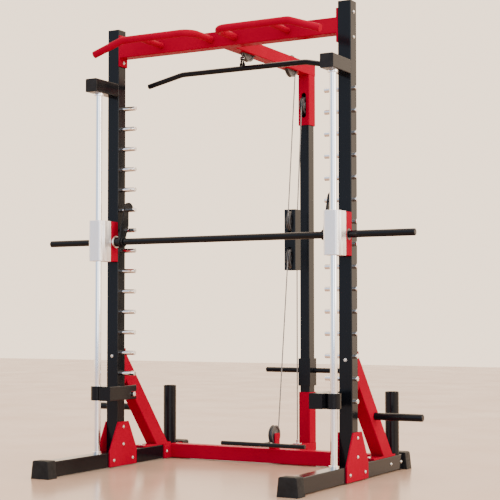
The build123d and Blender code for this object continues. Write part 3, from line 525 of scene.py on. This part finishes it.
def housing_outline(half, front, back):
    """Right half of the extrusion's section, front to back: rounded corner, flute and crowned side."""
    points = []
    for k in range(13):
        a = math.pi / 2 * k / 12
        points.append((half - housing_corner + housing_corner * math.sin(a),
                       front + housing_corner - housing_corner * math.cos(a)))
    for k in range(17):
        t = k / 16
        y = front + flute_start + (flute_end - flute_start) * t
        points.append((half - flute_depth * math.sin(math.pi * t) ** 2, y))
    crown_start = front + flute_end
    for k in range(1, 13):
        t = k / 13
        y = crown_start + (back - housing_lip - crown_start) * t
        points.append((half - crown_dip * math.sin(math.pi * t) ** 2 * (1 - t), y))
    return points + [(half, back - housing_lip), (half - housing_lip, back)]


def housing(centre_x):
    """The extrusion with chamfered ends, bored for the bushing on its guide rod."""
    right_half = housing_outline(housing_high.x - upright_x, housing_low.y, housing_high.y)
    section = right_half + [(-x, y) for x, y in reversed(right_half)]
    levels = [(housing_low.z, housing_chamfer), (housing_low.z + housing_chamfer, 0.0),
              (housing_high.z - housing_chamfer, 0.0), (housing_high.z, housing_chamfer)]
    points = []
    for z, inset in levels:
        for x, y in section:
            away = Vector((x, y - rod_y, 0))
            away *= 1 - inset / away.length
            points.append(Vector((centre_x + away.x, rod_y + away.y, z)))
    for z in (housing_high.z, housing_low.z):
        for x, y in section:
            away = Vector((x, y - rod_y, 0)).normalized() * bore
            points.append(Vector((centre_x + away.x, rod_y + away.y, z)))
    rings = len(levels) + 2
    return points, bands(len(section), [*range(rings), 0])


piece("fluted_housings", "carriages", alloy, [housing(-upright_x), housing(upright_x)],
      ("carriage_housings",), angle=40)

# ---------------------------------------------------------------- collars on the lock hooks
bar = middle("smith_bar")
bar_radius = (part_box("smith_bar")[1].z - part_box("smith_bar")[0].z) / 2
box_inner = upright_x - (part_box("bearing_boxes")[1].x - upright_x)
collar_gap = 0.0018  # from the collar's outer face to the bearing box
collar_width = 0.0094
collar_radius = 0.0278
collar_bore = bar_radius + 0.0003
collar = [(collar_bore, 0.0), (collar_radius - 0.0013, 0.0), (collar_radius, 0.0012),
          (collar_radius, collar_width - 0.0010), (collar_radius - 0.0010, collar_width),
          (collar_bore, collar_width)]
collar_x = box_inner - collar_gap - collar_width
collars = [turned(collar, (side * collar_x, bar.y, bar.z), (side, 0, 0), 64) for side in (-1, 1)]
piece("hook_washers", "smith_bar", zinc, collars)

# ---------------------------------------------------------------- lat cable's stop
hanger = middle("lat_hanger")
hanger_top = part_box("lat_hanger")[1].z
sleeve_radius, sleeve_bore = 0.0113, 0.0040
sleeve_groove = 0.0107
sleeve = [(sleeve_bore, 0.0002), (0.0100, 0.0002), (sleeve_radius, -0.0010), (sleeve_radius, -0.0060),
          (sleeve_groove, -0.0068), (sleeve_groove, -0.0078), (sleeve_radius, -0.0086),
          (sleeve_radius, -0.0110), (0.0104, -0.0120), (sleeve_bore, -0.0120)]
piece("lat_stop_sleeve", "lat_hanger", black_rubber,
      [turned(sleeve, (hanger.x, hanger.y, hanger_top), (0, 0, 1))])

# ---------------------------------------------------------------- pulleys
large_rim_from = 0.050
large_groove_depth, small_groove_depth = 0.0082, 0.0092
groove_half = 0.0034
bearing_bore, bearing_radius, bearing_seat = 0.0052, 0.0124, 0.0125
rivet_radius, rivets = 0.0034, 5


def both_sides(half_profile):
    """A half profile of (radius, height) and its mirror image."""
    return half_profile + [(radius, -height) for radius, height in reversed(half_profile)]


def pulley_shapes(node):
    """Grooved wheel with a dished web, raised hub and rivets, and the steel bearing in its middle."""
    low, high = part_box(node)
    centre = (low + high) / 2
    rim = (high.z - low.z) / 2
    half = (high.x - low.x) / 2
    groove_floor = rim - (large_groove_depth if rim > large_rim_from else small_groove_depth)
    web, hub = half * 0.62, rim * 0.42
    wheel = [(bearing_seat, half), (hub, half), (hub + 0.0015, half - 0.0012), (hub + 0.003, web),
             (rim - 0.0115, web), (rim - 0.0095, half - 0.0008), (rim - 0.0088, half), (rim - 0.0012, half),
             (rim, half - 0.001), (rim, half - 0.002), (rim - 0.0012, half - 0.0028),
             (groove_floor, groove_half)]
    bearing = [(bearing_bore, half - 0.0006), (bearing_radius - 0.0006, half - 0.0006),
               (bearing_radius, half - 0.0012)]
    rivet = [(0, web - 0.0008), (rivet_radius, web - 0.0008), (rivet_radius, web + 0.0006),
             (rivet_radius - 0.001, web + 0.0014), (0, web + 0.0014)]
    reach = (hub + rim - 0.0085) / 2
    axle = (1, 0, 0)
    shapes = [turned(both_sides(wheel), centre, axle, 96)]
    for k in range(rivets):
        a = 2 * math.pi * k / rivets
        spot = centre + Vector((0, reach * math.cos(a), reach * math.sin(a)))
        shapes += [turned(rivet, spot, (way, 0, 0), 20) for way in (-1, 1)]
    return shapes, [turned(both_sides(bearing), centre, axle)]


for node in ("front_top_pulley", "rear_top_pulley", "bracket_pulley", "low_pulley",
             "block_upper_pulley", "block_lower_pulley"):
    wheel_shapes, bearing_shapes = pulley_shapes(node)
    piece(node + "_wheel", node, nylon, wheel_shapes, (node,), angle=30)
    piece(node + "_bearing", node, dark_steel, bearing_shapes)

# ---------------------------------------------------------------- cables
cable_radius = 0.00275
large_groove, small_groove = 0.048, 0.038
cable_sides = 20


def straight(start, start_radius, start_turn, end, end_radius, end_turn):
    """Ends of the straight run between two pulleys. A turn of 1 goes anticlockwise seen
    from +X, and -1 clockwise."""
    offset = end_turn * end_radius - start_turn * start_radius
    dy, dz = end.y - start.y, end.z - start.z
    square = dy * dy + dz * dz
    run = math.sqrt(square - offset * offset)
    across = Vector((0, run * dz - offset * dy, -(run * dy + offset * dz))) / square
    leave = Vector((0, start.y, start.z)) + start_turn * start_radius * across
    arrive = Vector((0, end.y, end.z)) + end_turn * end_radius * across
    return leave, arrive


def round_pulley(centre, radius, turn, first, last, steps=40):
    """Points of the cable round a pulley, from first to last."""
    begin = math.atan2(first.z - centre.z, first.y - centre.y)
    finish = math.atan2(last.z - centre.z, last.y - centre.y)
    swept = turn * ((turn * (finish - begin)) % (2 * math.pi))
    angles = [begin + swept * k / steps for k in range(steps + 1)]
    return [Vector((0, centre.y + radius * math.cos(a), centre.z + radius * math.sin(a))) for a in angles]


def unwrap(mesh, columns, runs):
    """UVs of a cable: X goes once round it, and Y is metres along it."""
    layer = mesh.uv_layers.new(name="UVMap")
    for polygon in mesh.polygons:
        around = [columns[v] for v in polygon.vertices]
        closing = len(around) == 4 and max(around) - min(around) > 1
        for loop in polygon.loop_indices:
            vertex = mesh.loops[loop].vertex_index
            column = columns[vertex]
            if closing and column == 0:
                column = cable_sides
            layer.data[loop].uv = (column / cable_sides, runs[vertex])


def cable(name, body, routes, other=None):
    """Cable along routes. With another body, a straight run stretches from the first body to it."""
    points, faces, columns, runs = [], [], [], []
    side = Vector((1, 0, 0))
    for route in routes:
        start, run = len(points), 0.0
        last = len(route) - 1
        for k, place in enumerate(route):
            if k:
                run += (place - route[k - 1]).length
            ahead = (route[min(k + 1, last)] - route[max(k - 1, 0)]).normalized()
            up = ahead.cross(side)
            for i in range(cable_sides):
                a = 2 * math.pi * i / cable_sides
                points.append(place + cable_radius * (math.cos(a) * side + math.sin(a) * up))
                columns.append(i)
                runs.append(run)
        faces += bands(cable_sides, range(last + 1), start)
        faces += [cap(cable_sides, 0, start), cap(cable_sides, last, start)]
    mesh = outward_mesh(name + "_strand", points, faces)
    unwrap(mesh, columns, runs)
    made = add_object(name + "_strand", mesh, cable_look, 50)
    if other:
        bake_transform(made)
    else:
        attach(made, body)
    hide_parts(name)


def upright_run(node, from_top):
    """Ends of a vertical run, the end on the frame first."""
    low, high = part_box(node)
    ends = [Vector((0, middle(node).y, z)) for z in (low.z, high.z)]
    return ends[::-1] if from_top else ends


front_wheel, rear_wheel = middle("front_top_pulley"), middle("rear_top_pulley")
bracket_wheel, low_wheel = middle("bracket_pulley"), middle("low_pulley")
upper_wheel, lower_wheel = middle("block_upper_pulley"), middle("block_lower_pulley")
top_a, top_b = straight(front_wheel, large_groove, -1, rear_wheel, large_groove, -1)
drop_a, drop_b = straight(rear_wheel, large_groove, -1, upper_wheel, large_groove, 1)
rise_a, rise_b = straight(upper_wheel, large_groove, 1, bracket_wheel, small_groove, -1)
reach_a, reach_b = straight(low_wheel, small_groove, 1, lower_wheel, large_groove, -1)
lat_run = upright_run("cable_lat_drop", True)
sled_run = upright_run("cable_sled_drop", True)
anchor_run = upright_run("cable_anchor_drop", False)
reach_low, reach_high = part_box("cable_low_reach")
reach_z = middle("cable_low_reach").z
low_run = [Vector((0, reach_high.y, reach_z)), Vector((0, reach_low.y, reach_z))]

cable("cable_lat_drop", "frame", [lat_run], "lat_hanger")
cable("cable_sled_drop", "frame", [sled_run], "weight_sled")
cable("cable_rear_drop", "frame", [[drop_a, drop_b]], "pulley_block")
cable("cable_block_rise", "frame", [[rise_b, rise_a]], "pulley_block")
cable("cable_low_rise", "frame", [[reach_a, reach_b]], "pulley_block")
cable("cable_anchor_drop", "frame", [anchor_run], "pulley_block")
cable("cable_low_reach", "frame", [low_run], "low_hanger")
cable("cable_top_run", "frame", [
    round_pulley(front_wheel, large_groove, -1, lat_run[0], top_a)
    + round_pulley(rear_wheel, large_groove, -1, top_b, drop_a)])
cable("cable_bracket_wrap", "frame", [round_pulley(bracket_wheel, small_groove, -1, rise_b, sled_run[0])])
cable("cable_low_wrap", "frame", [round_pulley(low_wheel, small_groove, 1, low_run[0], reach_a)])
cable("cable_block_wraps", "pulley_block", [
    round_pulley(upper_wheel, large_groove, 1, drop_b, rise_a),
    round_pulley(lower_wheel, large_groove, -1, reach_b, anchor_run[1])])

# ---------------------------------------------------------------- camera, floor and light
camera_data = bpy.data.cameras.new("camera")
camera_data.sensor_width = 36.0
camera_data.lens = 93.89
camera_data.shift_x = -0.001
camera_data.shift_y = 0.0191
camera_data.clip_end = 100.0
camera = bpy.data.objects.new("camera", camera_data)
scene.collection.objects.link(camera)
camera.location = (2.8726, -5.1062, 0.6839)
camera.rotation_euler = (math.radians(90 + 2.52), math.radians(0.03), math.radians(28.98))
scene.camera = camera


def floor_material():
    """Pale satin floor with a faint cloudy tone."""
    s = Shader("studio_floor", IOR=1.2)
    tone = s.mix(s.remap(s.noise(1.1, 4.0), 0.3, 0.7, 0.0, 1.0), (0.46, 0.32, 0.235), (0.50, 0.35, 0.26))
    s.feed("Base Color", tone)
    s.feed("Roughness", s.remap(s.noise(2.3, 3.0), 0.3, 0.7, 0.16, 0.24))
    return s.material


floor_reach = 12.0
floor_mesh = bpy.data.meshes.new("floor")
floor_corners = [(-floor_reach, -floor_reach, 0), (floor_reach, -floor_reach, 0),
                 (floor_reach, floor_reach, 0), (-floor_reach, floor_reach, 0)]
floor_mesh.from_pydata(floor_corners, [], [(0, 1, 2, 3)])
floor_mesh.materials.append(floor_material())
floor = bpy.data.objects.new("floor", floor_mesh)
scene.collection.objects.link(floor)


def area_light(name, place, target, size, power, colour):
    """A soft box at a place, turned to a target."""
    data = bpy.data.lights.new(name, "AREA")
    data.shape = "RECTANGLE"
    data.size, data.size_y = size
    data.energy = power
    data.color = colour
    made = bpy.data.objects.new(name, data)
    scene.collection.objects.link(made)
    made.location = place
    made.rotation_euler = (Vector(target) - Vector(place)).to_track_quat("-Z", "Y").to_euler()


area_light("overhead_softbox", (0.5, -0.5, 5.0), (0, 0, 0), (4.0, 4.0), 90, (1.0, 0.96, 0.92))
area_light("front_softbox", (4.6, -7.4, 2.6), (0, 0, 1.6), (5.5, 4.4), 190, (1.0, 0.99, 0.98))
area_light("side_softbox", (6.5, 0.4, 2.7), (0, 0, 1.2), (4.5, 4.0), 240, (1.0, 0.97, 0.93))


def studio_world(wall_colour, front_colour, fade_from, fade_to):
    """Pale warm surroundings behind the machine, cooler and darker in front of it; the change is
    between two values of the direction's Y."""
    world = bpy.data.worlds.new("studio")
    world.use_nodes = True
    tree = world.node_tree
    direction = tree.nodes.new("ShaderNodeTexCoord").outputs["Generated"]
    split = tree.nodes.new("ShaderNodeSeparateXYZ")
    fade = tree.nodes.new("ShaderNodeMapRange")
    fade.interpolation_type = "SMOOTHSTEP"
    fade.inputs["From Min"].default_value = fade_from
    fade.inputs["From Max"].default_value = fade_to
    mix = tree.nodes.new("ShaderNodeMix")
    mix.data_type = "RGBA"
    mix.inputs[6].default_value = (*front_colour, 1)
    mix.inputs[7].default_value = (*wall_colour, 1)
    tree.links.new(direction, split.inputs["Vector"])
    tree.links.new(split.outputs["Y"], fade.inputs["Value"])
    tree.links.new(fade.outputs["Result"], mix.inputs["Factor"])
    tree.links.new(mix.outputs[2], tree.nodes["Background"].inputs["Color"])
    scene.world = world


studio_world(wall_colour=(2.55, 2.0, 1.5), front_colour=(1.05, 1.2, 1.45), fade_from=-0.75, fade_to=-0.15)
